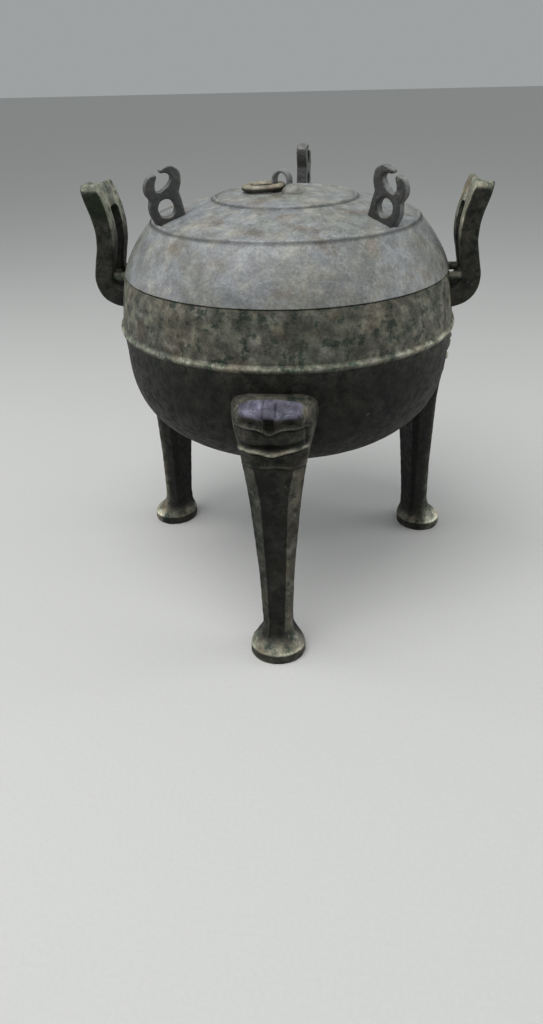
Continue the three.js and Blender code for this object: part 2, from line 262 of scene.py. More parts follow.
def lid_side(inset, steps):
    """The steep side from the rim to the outer cord, as a quadratic Bezier."""
    start = np.array((RIM - inset, LID_FOOT + 0.9))
    bend = np.array((146.6 - inset, 343 - inset / 2))
    end = np.array((OUTER_CORD + 2.2 - inset / 2, OUTER_CORD_HEIGHT - 0.4 - inset))
    t = np.linspace(0, 1, steps)[:, None]
    curve = (1 - t) ** 2 * start + 2 * t * (1 - t) * bend + t**2 * end
    return [tuple(map(float, point)) for point in curve]


def corded(radius):
    """A thin half-round cord across the crown, from its outer to its inner foot."""
    offsets = np.linspace(2.6, -2.6, 15)
    rise = 1.8 * np.cos(np.clip(offsets / 1.9, -1, 1) * math.pi / 2) ** 0.9
    rise = rise - 0.5 * bump(np.abs(offsets) - 2.2, 0.35)
    radii = [radius + float(offset) for offset in offsets]
    return [(r, crown(r) + float(height)) for r, height in zip(radii, rise)]


def crown_points(outer, inner, steps, drop=0.0):
    return [(float(r), crown(float(r)) - drop) for r in np.linspace(outer, inner, steps)]


outer_skin = [(RIM - 1.2, LID_FOOT), (RIM - 0.4, LID_FOOT + 0.3)] + lid_side(0, 22)
outer_skin += corded(OUTER_CORD) + crown_points(OUTER_CORD - 3.5, INNER_CORD + 3.5, 14)
outer_skin += corded(INNER_CORD) + crown_points(INNER_CORD - 3.5, 0, 13)
inner_skin = crown_points(0, OUTER_CORD, 16, LID_WALL) + lid_side(LID_WALL, 12)[::-1][1:]
lid_profile = outer_skin + inner_skin + [(RIM - LID_WALL, LID_FOOT), (RIM - 1.2, LID_FOOT)]
lid_shell = spun("lid_shell", lid_profile, steps=180)
swell(lid_shell, 0.5, 24)
report(lid_shell)

# %% [markdown]
# ## Legs
# Each leg was cast on its own, a bevelled shaft that swells into an animal face at the bowl and
# into a hoof at the floor. A sphere's rows and columns are laid over sections worked out for each
# height, so that the rows can crowd together where the face needs them. The stations are blurred
# along the front, because a plain line from one to the next would leave a crease round the leg.

# %% Leg stations
# Height, half width, half width of the front facet, reach of the front and of the back from the
# bowl's axis, roundness of the section and softness of its corners; from the head to the floor.
LEG_STATIONS = np.array([
    (255.4, 24.0, 13, 150, 110, 0.90, 2.0),
    (254.6, 28.5, 15, 158, 110, 0.90, 2.0),
    (253.2, 32.0, 17, 166, 110, 0.86, 2.0),
    (250.6, 34.6, 19, 174, 110, 0.80, 2.0),
    (247.0, 36.2, 20, 180, 110, 0.74, 2.0),
    (243.0, 36.9, 21, 183.8, 110, 0.66, 2.0),
    (238.0, 37.0, 22, 185.2, 110, 0.60, 1.8),
    (232.0, 36.4, 22, 184.8, 110, 0.55, 1.8),
    (222.0, 34.4, 21, 183.0, 112, 0.45, 1.6),
    (212.0, 32.0, 20, 181.0, 116, 0.36, 1.5),
    (203.0, 29.6, 18.5, 179.2, 122, 0.22, 1.2),
    (194.0, 27.6, 16.5, 178.0, 128, 0.10, 0.9),
    (178.0, 25.0, 13.5, 177.2, 135, 0, 0.55),
    (160.0, 22.6, 11.5, 176.5, 141, 0, 0.5),
    (120.0, 18.8, 9.8, 176.0, 146.8, 0, 0.5),
    (85.0, 15.8, 8.6, 175.3, 148.8, 0, 0.5),
    (36.0, 13.6, 7.0, 176.5, 151.3, 0, 0.5),
    (28.0, 13.9, 7.2, 177.8, 151, 0.05, 0.6),
    (24.0, 15.2, 8, 179.6, 150.2, 0.30, 0.8),
    (20.5, 17.8, 9.5, 182.8, 148.8, 0.60, 1.0),
    (16.5, 21.6, 11, 187.6, 147.2, 0.85, 1.2),
    (12.8, 24.6, 12, 191.8, 146, 1, 1.2),
    (10.0, 25.9, 13.6, REACH - 0.4, 145.6, 1, 1.2),
    (8.6, 26.0, 14, REACH - 0.2, 145.5, 1, 1.2),
    (1.0, 25.8, 14, REACH - 0.4, 145.7, 1, 1.2),
    (0, 24.9, 14, REACH - 1.3, 146.6, 1, 1.2),
])
LEG_COLUMNS = 176
FOREHEAD, CHIN_FOOT, HOOF_TOP = 238, 190, 30


def softened(stations, blur, count=2400):
    """The stations blurred along the front profile; returns the run and the columns."""
    steps = np.hypot(np.diff(stations[:, 0]), np.diff(stations[:, 3]))
    run = np.concatenate([[0], np.cumsum(steps)])
    fine = np.linspace(0, run[-1], count)
    columns = np.stack([np.interp(fine, run, column) for column in stations.T], axis=1)
    reach = int(3 * blur / run[-1] * count)
    head = 2 * columns[0] - columns[reach:0:-1]
    tail = 2 * columns[-1] - columns[-2:-reach - 2:-1]
    kernel = np.exp(-0.5 * (np.arange(-reach, reach + 1) / (reach / 3)) ** 2)
    kernel /= kernel.sum()
    padded = np.vstack([head, columns, tail])
    return fine, np.stack([np.convolve(c, kernel, mode="valid") for c in padded.T], axis=1)


leg_run, leg_columns = softened(LEG_STATIONS, 0.9)
leg_columns[:, 0] = np.maximum(leg_columns[:, 0], 0)
chin_run = float(np.interp(-CHIN_FOOT, -leg_columns[:, 0], leg_run))
hoof_run = float(np.interp(-HOOF_TOP, -leg_columns[:, 0], leg_run))
row_runs = np.concatenate([
    np.arange(0, chin_run, 0.62), np.arange(chin_run, hoof_run, 1.7),
    np.arange(hoof_run, leg_run[-1] - 0.2, 0.7), [leg_run[-1]],
])
leg_rows = np.stack([np.interp(row_runs, leg_run, c) for c in leg_columns.T], axis=1)
print("rows in a leg:", len(leg_rows))

# %% Leg sections
SECTION_POINTS = 960


def leg_section(station):
    """Places round one section, [across, out from the axis], starting at the back."""
    _, half, facet, front, back, roundness, softness = station
    front_cut, back_cut = (half - facet) * 0.8, half * 0.25
    corners = np.array([
        (0, back), (back_cut - half, back), (-half, back + back_cut), (-half, front - front_cut),
        (-facet, front), (facet, front), (half, front - front_cut), (half, back + back_cut),
        (half - back_cut, back), (0, back),
    ])
    run = np.concatenate([[0], np.cumsum(np.linalg.norm(np.diff(corners, axis=0), axis=1))])
    fine = np.linspace(0, run[-1], SECTION_POINTS, endpoint=False)
    outline = np.stack([np.interp(fine, run, corners[:, k]) for k in (0, 1)], axis=1)
    spread = np.fft.fftfreq(SECTION_POINTS)[:, None]
    blur = np.exp(-2 * (math.pi * softness / (run[-1] / SECTION_POINTS) * spread) ** 2)
    outline = np.real(np.fft.ifft(np.fft.fft(outline, axis=0) * blur, axis=0))
    middle, depth = (front + back) / 2, (front - back) / 2
    turns = np.arctan2(outline[:, 0] / half, (outline[:, 1] - middle) / depth)
    circle = np.stack([half * np.sin(turns), middle + depth * np.cos(turns)], axis=1)
    outline = outline * (1 - roundness) + circle * roundness
    share = np.linspace(0, 1, LEG_COLUMNS, endpoint=False)
    at = (share + 0.06 * np.sin(2 * math.pi * share)) * SECTION_POINTS
    wrapped = np.vstack([outline, outline[:1]])
    counted = np.arange(SECTION_POINTS + 1)
    return np.stack([np.interp(at, counted, wrapped[:, k]) for k in (0, 1)], axis=1)

print("corners cut and softened on", len(leg_rows), "sections")

# %% [markdown]
# ### The animal face
# The head of each leg is an animal's face in low relief. It could be sculpted by hand, or carved
# with displacement from a painted height. Here it is added up from bells and soft steps: dome,
# eyes, nose, a thin cheek line, mouth, lip and chin. Each line of the sum is one feature, so each
# can be moved on its own, and the whole face comes out the same every time.

# %% The lines across the face
FACE_MIDDLE = -2.0


def face_lines(x):
    """Heights of the wavy cheek line, the lip and the chin line across the face."""
    cheek = 235.2 - 4.6 * bump(x - 0.5, 6.5)
    lip = 214.3 - 4.2 * bump(x - 2, 10) + 0.05 * x
    return cheek, lip, 198 + 0.4 * np.sin(x / 3.5)


print("cheek, lip and chin lines at", [round(float(line), 1) for line in face_lines(0.0)])


# %% The relief of the face
def face_relief(across, v):
    """How far the face stands out; v runs up the front and on over the forehead."""
    x = across - FACE_MIDDLE
    side = np.abs(x)
    cheek, lip, chin = face_lines(x)
    # The forehead is a low dome with a groove round it and a brow line over it.
    dome = 1 - ((x - 0.5) / 31) ** 2 - ((v - 246) / 18) ** 2
    face = 1.7 * smoothstep(dome, -0.1, 0.16) * smoothstep(v, 236, 243)
    face -= 0.9 * bump(dome + 0.1, 0.09) * smoothstep(v, 240, 246)
    face += 0.8 * bump(v - 269 - 0.8 * np.sin(x / 6), 1.6) * bump(x, 26)
    # Each eye is a socket with a ball in it and swirls over it.
    swirl = np.hypot(side - 15.5, v - 241)
    waves = 0.5 * np.cos(swirl * 2 * math.pi / 2.5)
    face += waves * bump(swirl - 7, 3.4) * smoothstep(v, 240, 243)
    face -= 5.0 * bump(side - 16.5, 4.9) * bump(v - 239.3, 3.1)
    face += 2.2 * bump(side - 16.5, 1.7) * bump(v - 239.8, 1.4)
    # The nose starts at a square notch, and two grooves run up beside it.
    notch = smoothstep(4.6 - side, 0, 1.3) * smoothstep(v, 231.6, 233.4)
    face -= 5.4 * notch * smoothstep(244 - v, 0, 2.2)
    upright = smoothstep(v, 233, 238) * smoothstep(264 - v, 0, 6)
    face += 0.8 * smoothstep(5.2 - side, 0, 1) * smoothstep(v, 243, 246) * upright
    face -= 1.2 * bump(side - 5.4, 0.75) * upright
    # The cheek line has short whisker lines below it, over full cheeks.
    face += 2.0 * bump(v - cheek, 0.85) - 1.2 * bump(v - cheek + 2.0, 1.1)
    face += 0.9 * bump(v - 227.5, 0.65) * bump(x + 17, 4.5)
    face += 0.7 * bump(v - 231.4, 0.6) * bump(x - 19, 4)
    face += 0.6 * bump(v - 226, 0.6) * bump(x - 20, 4)
    face += 2.2 * bump(side - 15, 10) * bump(v - 223.5, 6)
    face -= 1.8 * bump(x, 5) * bump(v - 222, 7)
    # The mouth is a long hollow over a raised lip, with the chin line at the bottom.
    face -= 4.6 * bump(v - lip - 4.4, 2.5) * bump(x, 25)
    face -= 2.2 * bump(v - lip - 6.2, 4) * bump(x, 8)
    face += 2.8 * bump(v - lip, 1.7)
    face += 0.8 * bump(v - lip + 3.9, 1.1) - 0.8 * bump(v - lip + 2.4, 0.8)
    face -= 1.6 * bump(v - lip + 7.2, 2.4) * bump(x, 24)
    face += 1.3 * bump(v - chin, 0.95) - 1.1 * bump(v - chin + 2.3, 1.3)
    face -= 0.9 * bump(side - 29.5, 0.9) * smoothstep(v, 212, 222) * smoothstep(256 - v, 0, 6)
    return face * smoothstep(v, 190, 197)


# %% [markdown]
# ### Wrapping the leg
# The rows of the sphere become the sections, and its two poles close the leg inside the bowl and
# under the hoof. The relief is pushed out along the slope of the front, so that it doesn't shear
# where the forehead leans back into the bowl.

# %% Wrap the first leg
bpy.ops.object.select_all(action="DESELECT")
bpy.ops.mesh.primitive_uv_sphere_add(segments=LEG_COLUMNS, ring_count=len(leg_rows) + 1)
leg = bpy.context.object
ball = points_of(leg)
rings = len(leg_rows) + 1
row = np.rint(np.arccos(np.clip(ball[:, 2], -1, 1)) / math.pi * rings).astype(int)
column = np.rint(np.arctan2(-ball[:, 0], ball[:, 1]) / (2 * math.pi) * LEG_COLUMNS).astype(int)
column %= LEG_COLUMNS
sections = np.array([leg_section(station) for station in leg_rows])
at_row = np.clip(row - 1, 0, len(leg_rows) - 1)
section, heights, reaches = sections[at_row, column], leg_rows[at_row, 0], leg_rows[at_row, 3]
pole = (row == 0) | (row == rings)
UNDER_HOOF, INSIDE_BOWL = (0, 168), (0, 130)
section[pole] = [UNDER_HOOF if z < HOOF_TOP else INSIDE_BOWL for z in heights[pole]]
forehead_run = float(np.interp(-FOREHEAD, -leg_columns[:, 0], leg_run))
face_v = np.where(heights > FOREHEAD, FOREHEAD + forehead_run - row_runs[at_row], heights)
slope_out, slope_up = (np.gradient(leg_rows[:, k], row_runs) for k in (3, 0))
length = np.hypot(slope_out, slope_up)
stand_out, stand_up = (-slope_up / length)[at_row], (slope_out / length)[at_row]
front = smoothstep(section[:, 1] - reaches, -26, -9) * smoothstep(heights, 190, 197)
relief = face_relief(section[:, 0], face_v) * front * ~pole
lay(leg, np.stack([
    section[:, 0], -section[:, 1] - relief * stand_out, heights + relief * stand_up,
], axis=1))
edit(leg)
close(leg, "leg_front", 35)
swell(leg, 0.9, 7, 3)
settled = points_of(leg)
settled[:, 2] = np.maximum(settled[:, 2], 0)
leg.data.vertices.foreach_set("co", settled.ravel())
report(leg)

# %% [markdown]
# The other two legs are copies, each with its own mesh, turned a third of a circle about the
# bowl's axis. Turning with no window goes the other way round, so the turn's centre is given.

# %% Copy the leg
def copy_turned(piece, name, degrees):
    bpy.ops.object.select_all(action="DESELECT")
    piece.select_set(True)
    bpy.context.view_layer.objects.active = piece
    bpy.ops.object.duplicate(linked=False)
    twin = bpy.context.object
    twin.name = twin.data.name = name
    turn = Matrix.Rotation(math.radians(degrees), 4, "Z")
    shift = Matrix.Translation((AXIS[0], AXIS[1], 0))
    twin.data.transform(shift @ turn @ shift.inverted())
    report(twin)
    return twin


leg_right = copy_turned(leg, "leg_right", 120)
leg_left = copy_turned(leg, "leg_left", -120)

# %% [markdown]
# ## Ears
# An ear is a thick slab bent like an S: it leaves the wall, turns up beside the lid and flares out
# at its top. A tall slot goes through it for a carrying hook. A ring has the right build for a
# slab with one hole, so a torus is laid over it: its long way round follows the outline, and its
# short way round goes over the front, through the slot and over the back.

# %% The bend of an ear
EAR_WIDTH, EAR_THICKNESS, EAR_CORNER = 58, 16.4, 9
SLOT_WIDTH, SLOT_BOTTOM, SLOT_TOP = 22, 316, 377
BOWL_UNDER_EAR, EAR_LEAVES_WALL = 151.6, 308
EAR_BEND = np.array([
    (144, 299), (156, 300.5), (165.5, 306), (169.8, 317), (167.8, 332),
    (165.2, 346), (165, 360), (167.4, 374), (171.4, 387), (176, 402),
])


def smooth_curve(knots, count):
    """A Catmull-Rom curve through the knots, at even steps of its length."""
    ends = np.vstack([2 * knots[0] - knots[1], knots, 2 * knots[-1] - knots[-2]])
    fine = []
    for before, start, end, after in zip(ends, ends[1:], ends[2:], ends[3:]):
        for t in np.linspace(0, 1, 24, endpoint=False):
            fine.append(0.5 * (
                2 * start + (end - before) * t
                + (2 * before - 5 * start + 4 * end - after) * t**2
                + (3 * start - before - 3 * end + after) * t**3
            ))
    fine = np.array(fine + [knots[-1]])
    run = np.concatenate([[0], np.cumsum(np.linalg.norm(np.diff(fine, axis=0), axis=1))])
    even = np.linspace(0, run[-1], count)
    return np.stack([np.interp(even, run, fine[:, k]) for k in (0, 1)], axis=1), even


bend, bend_run = smooth_curve(EAR_BEND, 400)
bend_along = np.gradient(bend, bend_run, axis=0)
bend_along /= np.linalg.norm(bend_along, axis=1)[:, None]
print(f"an ear is {bend_run[-1]:.0f} units long along its bend")


def run_at_height(height):
    """How far along the bend a height is reached, past the level part at the wall."""
    past_wall = bend[:, 1] > EAR_LEAVES_WALL
    return float(np.interp(height, bend[past_wall, 1], bend_run[past_wall]))


# %% The ring of an ear
def rounded_frame(half, low, high, top_corner, low_corner, counts):
    """Outline of an upright frame, [across, along], from the bottom's middle round to the left."""
    def quarter(middle, size, start, count):
        turns = np.radians(np.linspace(start, start + 90, count, endpoint=False))
        return [(middle[0] + size * math.cos(t), middle[1] + size * math.sin(t)) for t in turns]

    def straight(start, end, count):
        return [tuple(np.array(start) + (np.array(end) - start) * k / count) for k in range(count)]

    side, top, corner = counts
    foot, head = low_corner, top_corner
    points = straight((0, low), (half - foot, low), top)
    points += quarter((half - foot, low + foot), foot, -90, corner)
    points += straight((half, low + foot), (half, high - head), side)
    points += quarter((half - head, high - head), head, 0, corner)
    points += straight((half - head, high), (head - half, high), 2 * top)
    points += quarter((head - half, high - head), head, 90, corner)
    points += straight((-half, high - head), (-half, low + foot), side)
    points += quarter((foot - half, low + foot), foot, 180, corner)
    points += straight((foot - half, low), (0, low), top)
    return np.array(points)


def ear_cross_section(depth, thickness, soft, steps):
    """Places round a bar, [share of the way from the outline to the slot, height over middle]."""
    half = thickness / 2
    flat = np.linspace(0, 1, steps, endpoint=False)

    def quarter(middle, start):
        turns = np.radians(start - 90 * np.linspace(0, 1, 4, endpoint=False))
        return [(middle[0] + soft * math.cos(t), middle[1] + soft * math.sin(t)) for t in turns]

    points = [(soft + (depth - 2 * soft) * f, half) for f in flat]
    points += quarter((depth - soft, half - soft), 90)
    points += [(depth, half - soft - (thickness - 2 * soft) * f) for f in flat]
    points += quarter((depth - soft, soft - half), 0)
    points += [(depth - soft - (depth - 2 * soft) * f, -half) for f in flat]
    points += quarter((soft, soft - half), -90)
    points += [(0, soft - half + (thickness - 2 * soft) * f) for f in flat]
    points += quarter((soft, half - soft), 180)
    return np.array(points)


# %% Wrap an ear
EAR_COUNTS, EAR_SOFT = (44, 9, 8), 2.0


def wrap_ear(name):
    """Lays a torus over the frame of an ear and carries it along the bend."""
    wall_end = float(np.interp(BOWL_UNDER_EAR, bend[:120, 0], bend_run[:120]))
    top = run_at_height(EAR_TOP)
    slot = run_at_height(SLOT_BOTTOM), run_at_height(SLOT_TOP)
    rim = rounded_frame(EAR_WIDTH / 2, wall_end, top, EAR_CORNER, 0.6, EAR_COUNTS)
    hole = rounded_frame(SLOT_WIDTH / 2, *slot, SLOT_WIDTH * 0.22, 3, EAR_COUNTS)
    bar = ear_cross_section(1, 1, 0, 6)
    bpy.ops.object.select_all(action="DESELECT")
    bpy.ops.mesh.primitive_torus_add(major_segments=len(rim), minor_segments=len(bar))
    piece = bpy.context.object
    points = np.empty((len(rim), len(bar), 3))
    for i, (edge, slot_edge) in enumerate(zip(rim, hole)):
        depth = float(np.linalg.norm(slot_edge - edge))
        around = ear_cross_section(depth, EAR_THICKNESS, EAR_SOFT, 6)
        share = around[:, :1] / depth
        flat = edge * (1 - share) + slot_edge * share
        run = flat[:, 1]
        near_wall = 1 - smoothstep(run - wall_end, 0, 12)
        run = run - near_wall * (BOWL_UNDER_EAR - np.sqrt(BOWL_UNDER_EAR**2 - flat[:, 0] ** 2))
        middle = np.stack([np.interp(run, bend_run, bend[:, k]) for k in (0, 1)], axis=1)
        along = np.stack([np.interp(run, bend_run, bend_along[:, k]) for k in (0, 1)], axis=1)
        level = smoothstep(run, top - 22, top)[:, None]
        across = np.stack([along[:, 1], -along[:, 0]], axis=1)
        across = across * (1 - level) + np.array((1, 0)) * level
        across /= np.linalg.norm(across, axis=1)[:, None]
        place = middle + across * around[:, 1:]
        points[i] = np.stack([place[:, 0], flat[:, 0], place[:, 1]], axis=1)
    lay(piece, points.reshape(-1, 3))
    edit(piece)
    close(piece, name, 50)
    swell(piece, 0.7, 11, 3)
    return piece


ear_right = wrap_ear("ear_right")
report(ear_right)
ear_left = copy_turned(ear_right, "ear_left", 180)

# %% [markdown]
# The top end of each ear is not flat: its middle is hollow and its outer back corner has fallen
# away, more on one ear than on the other. So the two ears are dished after they are copied, by
# lowering what lies near the top.

# %% Dish the tops of the ears
def dish_end(ear, middle_drop, back_drop, from_front):
    """Hollows the top end of an ear and lets its outer back corner fall away."""
    x, y, z = ((points_of(ear) - (AXIS[0], AXIS[1], 0)) / MM).T
    outward = (np.abs(x) - 171.4 - (z - 387) * 0.31) / 8.2
    backward = y / (EAR_WIDTH / 2)
    top = smoothstep(z, 385, 399)
    drop = middle_drop * bump(outward, 0.6) * smoothstep(backward, -0.8, 0.1)
    at_back = smoothstep(backward, from_front, from_front + 0.9)
    drop += back_drop * smoothstep(outward, -0.6, 0.6) * at_back
    lay(ear, np.stack([x, y, z - top * drop], axis=1))
    print(f"{ear.name}: top lowered by up to {np.max(top * drop):.1f}")


dish_end(ear_right, middle_drop=1.0, back_drop=7.0, from_front=-0.9)
dish_end(ear_left, middle_drop=2.2, back_drop=4.0, from_front=0.0)

# %% [markdown]
# Two short round struts tie each ear to the wall under the mouth. They were cast with pits and a
# slight waist, so each is a cylinder with its middle rows drawn in.

# %% Struts
STRUT_RADIUS, STRUT_WAIST, STRUT_HEIGHT = 4.3, 0.12, 318
STRUT_MIDDLE, STRUT_HALF, STRUT_APART = 158.5, 8.5, 20


def strut(name, side, sideways):
    bpy.ops.object.select_all(action="DESELECT")
    bpy.ops.mesh.primitive_cylinder_add(vertices=28, end_fill_type="TRIFAN", radius=1, depth=2)
    piece = bpy.context.object
    edit(piece)
    bpy.ops.mesh.subdivide(number_cuts=5)
    bpy.ops.object.mode_set(mode="OBJECT")
    rod = points_of(piece)
    waist = 1 - STRUT_WAIST * (1 - rod[:, 2] ** 2)
    radius = STRUT_RADIUS * waist
    out = STRUT_MIDDLE + STRUT_HALF * rod[:, 2]
    lay(piece, np.stack([
        side * out, sideways + rod[:, 0] * radius, STRUT_HEIGHT + rod[:, 1] * radius,
    ], axis=1))
    edit(piece)
    close(piece, name, 60)
    swell(piece, 1.0, 4, 2)
    report(piece)
    return piece


struts = [
    strut(f"strut_{word}_{place}", side, sideways)
    for word, side in (("right", 1), ("left", -1))
    for place, sideways in (("front", -STRUT_APART), ("back", STRUT_APART))
]

# %% [markdown]
# ## Knobs
# Three flat knobs stand on edge near the outer cord, each an openwork of a round hole with a tall
# and a short hook over it. They let the lid be lifted, and serve as its feet when it is turned
# over as a dish. A filled curve with a bevel makes such a plate with its hole at once. Cast and
# worn bronze has no crisp edge, so the plate is then melted together with a fine voxel remesh and
# rounded with a Smooth modifier.

# %% Knob outline
KNOB_FOOT, KNOB_SOFT, KNOB_VOXEL = 375, 1.5, 0.55
KNOB_HOLE = (112.4, 384.4, 6.0)
# Heading and thickness, how far it slides outwards, its lean in degrees, the rise of its hole.
KNOBS = {
    "knob_back": (84.5, 10.5, 0.0, 0.0, 0.0),
    "knob_left": (206, 9.2, -0.6, 0.0, 0.0),
    "knob_right": (324, 9.0, -1.8, 4.5, 1.6),
}


def through(points, count):
    """Points of a smooth curve through a few knots, without its last one."""
    return smooth_curve(np.array(points, dtype=float), count)[0][:-1].tolist()


outer_foot, inner_foot = (120.5, crown(120.5) - 2), (95.2, crown(95.2) - 2)
outer_neck, inner_neck = (126.6, 391), (100.4, 397.5)
short_tip, short_inside = (121.4, 412.4), (119, 410.2)
tall_inside, tall_tip = (112.2, 413), (115.8, 416.2)
knob_outline = through([outer_foot, (126, 377), (127.8, 384), outer_neck], 16)
knob_outline += through([outer_neck, (130.4, 397), (130.6, 403.5), (126.5, 410.6), short_tip], 24)
knob_outline += through([short_tip, (119.6, 412), short_inside], 6)
knob_outline += through([
    short_inside, (121.4, 403.5), (119.6, 398.2), (111.5, 402), (107, 408), (108.6, 411.8),
    tall_inside,
], 34)
knob_outline += through([tall_inside, (115.2, 412.6), (116.8, 414.2), tall_tip], 10)
knob_outline += through([tall_tip, (107, 419), (99.4, 415), (98, 406), inner_neck], 26)
knob_outline += through([inner_neck, (98.6, 391), (96.8, 383), inner_foot], 14)
knob_outline.append(inner_foot)
print(len(knob_outline), "points round a knob")


# %% Build a knob
def knob(name, turn, thickness, slide, lean, hole_rise):
    bpy.ops.object.select_all(action="DESELECT")
    bpy.ops.curve.primitive_nurbs_circle_add(radius=KNOB_HOLE[2] + KNOB_SOFT)
    bpy.ops.object.mode_set(mode="EDIT")
    bpy.ops.transform.translate(value=(KNOB_HOLE[0], KNOB_HOLE[1] + hole_rise, 0))
    bpy.ops.object.mode_set(mode="OBJECT")
    plate = bpy.context.object
    rim = plate.data.splines.new("POLY")
    rim.points.add(len(knob_outline) - 1)
    for point, (out, up) in zip(rim.points, knob_outline):
        point.co = (out, up, 0, 1)
    rim.use_cyclic_u = True
    plate.data.dimensions = "2D"
    plate.data.fill_mode = "BOTH"
    plate.data.extrude = thickness / 2 - KNOB_SOFT
    plate.data.bevel_depth = KNOB_SOFT
    plate.data.bevel_resolution = 2
    plate.data.offset = -KNOB_SOFT
    bpy.ops.object.convert(target="MESH")
    piece = bpy.context.object
    out, up, across = points_of(piece).T
    out, up = turned(out - KNOB_HOLE[0], up - KNOB_FOOT, -math.radians(lean))
    out, up = out + KNOB_HOLE[0] + slide, up + KNOB_FOOT
    lay(piece, np.stack([*turned(out, across, math.radians(turn)), up], axis=1))
    edit(piece)
    close(piece, name, 50)
    melt = piece.modifiers.new("melt", "REMESH")
    melt.mode, melt.voxel_size = "VOXEL", KNOB_VOXEL * MM
    bpy.ops.object.modifier_apply(modifier=melt.name)
    rounding = piece.modifiers.new("rounding", "SMOOTH")
    rounding.factor, rounding.iterations = 0.5, 14
    bpy.ops.object.modifier_apply(modifier=rounding.name)
    swell(piece, 0.6, 4)
    bpy.ops.object.shade_smooth()
    report(piece)
    return piece


knobs = [knob(name, *facts) for name, facts in KNOBS.items()]

# %% [markdown]
# ## Loop and pads
# In the middle of the lid a small ribbed strap stands like an arch, with leaf-shaped pads at its
# feet. The strap could be a bevelled curve, but its ribs are worn on the outside only. So its
# ribbed section is drawn as a face, pulled up, spun over half a circle and pulled down again into
# the lid. A pad is a flattened sphere, narrowed to a tip and given a faint keel.

# %% Loop
LOOP_PLACE, LOOP_TURN = (-2.5, -0.5), math.radians(244)
LOOP_WIDTH, LOOP_OPENING, LOOP_RISE, LOOP_LENGTH, LOOP_RIBS = 18.4, 13.2, 18, 8.4, 3
LOOP_ROOT = 3

outer_half, inner_half = LOOP_WIDTH / 2, LOOP_OPENING / 2
rib_run = np.linspace(LOOP_LENGTH / 2, -LOOP_LENGTH / 2, 31)
rib_swell = np.abs(np.sin((rib_run / LOOP_LENGTH + 0.5) * math.pi * LOOP_RIBS)) ** 0.6
section = [(-LOOP_LENGTH / 2, inner_half + 0.5), (0.5 - LOOP_LENGTH / 2, inner_half)]
section += [(LOOP_LENGTH / 2 - 0.5, inner_half), (LOOP_LENGTH / 2, inner_half + 0.5)]
section += [(float(x), outer_half - 1.2 + 1.2 * float(h)) for x, h in zip(rib_run, rib_swell)]

bpy.ops.object.select_all(action="DESELECT")
bpy.ops.mesh.primitive_plane_add(size=0.1)
loop = bpy.context.object
edit(loop)
bpy.ops.mesh.merge(type="CENTER")
bpy.ops.transform.translate(value=(section[0][0], section[0][1], -LOOP_ROOT))
for (x0, y0), (x1, y1) in zip(section, section[1:]):
    bpy.ops.mesh.extrude_vertices_move(TRANSFORM_OT_translate={"value": (x1 - x0, y1 - y0, 0)})
bpy.ops.mesh.select_all(action="SELECT")
bpy.ops.mesh.edge_face_add()
shoulder = LOOP_RISE - outer_half
pull = {"value": (0, 0, shoulder + LOOP_ROOT)}
bpy.ops.mesh.extrude_region_move(TRANSFORM_OT_translate=pull)
bpy.ops.mesh.spin(steps=32, angle=-math.pi, center=(0, 0, shoulder), axis=(1, 0, 0))
pull = {"value": (0, 0, -shoulder - LOOP_ROOT)}
bpy.ops.mesh.extrude_region_move(TRANSFORM_OT_translate=pull)
bpy.ops.object.mode_set(mode="OBJECT")
through_way, across, up = points_of(loop).T
x, y = turned(through_way, across, LOOP_TURN)
lay(loop, np.stack([LOOP_PLACE[0] + x, LOOP_PLACE[1] + y, LID_TOP + up], axis=1))
edit(loop)
close(loop, "loop", 40)
report(loop)


# %% Pads at the feet of the loop
def pad(name, place, length, width, height, turn):
    bpy.ops.object.select_all(action="DESELECT")
    bpy.ops.mesh.primitive_uv_sphere_add(segments=56, ring_count=28)
    piece = bpy.context.object
    x, y, z = points_of(piece).T
    tip = np.clip(x, 0, 1)
    narrow = 1 - 0.5 * tip**2.2
    y, z = y * narrow, z * (1 - 0.45 * tip**2)
    z = z + 0.07 * bump(y, 0.12) * (z > 0) * (1 - np.abs(x))
    x, y = turned(x * length, y * width, math.radians(turn))
    ground = crown(math.hypot(*place)) - 0.5
    lay(piece, np.stack([place[0] + x, place[1] + y, ground + z * height], axis=1))
    edit(piece)
    close(piece, name, 60)
    swell(piece, 0.6, 5)
    report(piece)
    return piece


pads = [
    pad("pad_front", (9.6, -11.8), 12.2, 10, 8, -12),
    pad("pad_back", (-13, 7.5), 5, 4.5, 4, 150),
]

# %% [markdown]
# ## Loose ring
# A plain ring hangs in the loop and lies on the slope of the lid, downhill from it. It is a torus
# whose tube is widened outwards and inwards, because the real one is hammered a little flat. It is
# tilted to the slope and then turned to its heading.

# %% Loose ring
RING_RADIUS, RING_THICKNESS = 17.4, 6.2
ring_low, ring_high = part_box("ring")
ring_turn = math.radians(170)
ring_way = np.array((math.cos(ring_turn), math.sin(ring_turn)))
ring_middle = np.array(LOOP_PLACE) + RING_RADIUS * ring_way
ring_out = float(np.hypot(*ring_middle))
ring_tilt = math.atan2(crown(0) - crown(ring_out + RING_RADIUS), ring_out + RING_RADIUS)
ring_lift = (ring_low[2] + ring_high[2]) / 2 / MM

